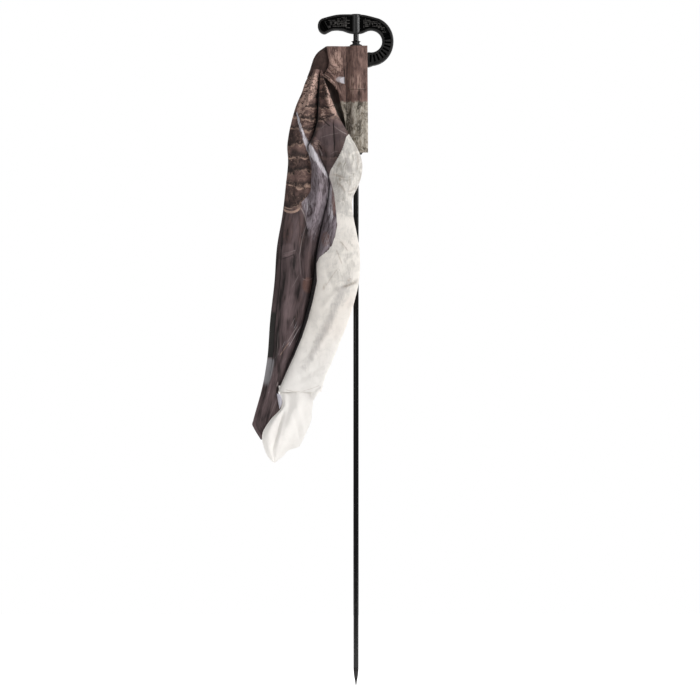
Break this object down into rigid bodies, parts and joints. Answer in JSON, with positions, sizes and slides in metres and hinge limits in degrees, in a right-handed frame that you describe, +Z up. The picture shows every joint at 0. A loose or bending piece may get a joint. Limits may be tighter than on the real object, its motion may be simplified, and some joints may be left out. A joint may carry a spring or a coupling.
{
  "type": "motion wing decoy",
  "caption": "Hand-waved bird decoy: a limp printed cloth wing on a sleeve that swings round a slim pointed stake with a hooked grip on top.",
  "frame": {"origin": "point of the ground spike, on the pole's axis", "axes": "+Z up along the pole; the wing hangs towards -X; the printed face is towards -Y"},
  "size_m": [0.252, 0.0436, 1.2],
  "materials": {
    "moulded_nylon": "black glass-filled nylon, satin, moulded grip texture",
    "coated_steel": "gloss black coating on steel tube",
    "bare_steel": "turned bare steel",
    "blackened_steel": "blackened spring steel",
    "bushing_plastic": "black acetal",
    "tube_plastic": "extruded grey plastic",
    "brown_cloth": "matte woven polyester printed with brown feathers",
    "white_cloth": "matte woven polyester printed with pale belly feathers",
    "binding_tape": "folded and stitched cloth hem"
  },
  "bodies": {
    "stake": {"handle": "moulded_nylon", "handle_spring_pin": "blackened_steel", "pole": "coated_steel", "ground_spike": "bare_steel", "upper_thrust_washer": "bushing_plastic", "upper_push_nut": "blackened_steel", "lower_thrust_washer": "bushing_plastic", "lower_push_nut": "blackened_steel"},
    "sleeve": {"sleeve_tube": "tube_plastic", "upper_bushing": "bushing_plastic", "lower_bushing": "bushing_plastic", "sleeve_pocket": "brown_cloth", "pocket_fold": "brown_cloth", "hoist_binding": "binding_tape", "root_gusset": "brown_cloth", "shoulder_batten": "tube_plastic", "top_hem": "brown_cloth", "shoulder_cloth": "brown_cloth"},
    "wing_inner": {"leading_hem_inner": "binding_tape", "wing_panel_inner": "brown_cloth", "middle_seam_inner": "binding_tape", "belly_panel_inner": "white_cloth", "trailing_hem_inner": "white_cloth"},
    "wing_outer": {"leading_hem_outer": "binding_tape", "wing_panel_outer": "brown_cloth", "middle_seam_outer": "binding_tape", "belly_panel_outer": "white_cloth", "trailing_hem_outer": "white_cloth", "wing_tip": "brown_cloth", "tail_panel": "white_cloth"}
  },
  "joints": [
    {"name": "wing_spin", "type": "hinge", "parent": "stake", "child": "sleeve", "pos_m": [0, 0, 0.952], "axis": [0, 0, 1], "range_deg": [-135, 135], "deforming": ["pocket_fold"]},
    {"name": "wing_lift", "type": "hinge", "parent": "sleeve", "child": "wing_inner", "pos_m": [-0.054, 0, 1.104], "axis": [0, 1, 0], "range_deg": [0, 75]},
    {"name": "wing_tip_lift", "type": "hinge", "parent": "wing_inner", "child": "wing_outer", "pos_m": [-0.072, 0, 0.889], "axis": [0, 1, 0], "range_deg": [0, 40]}
  ]
}
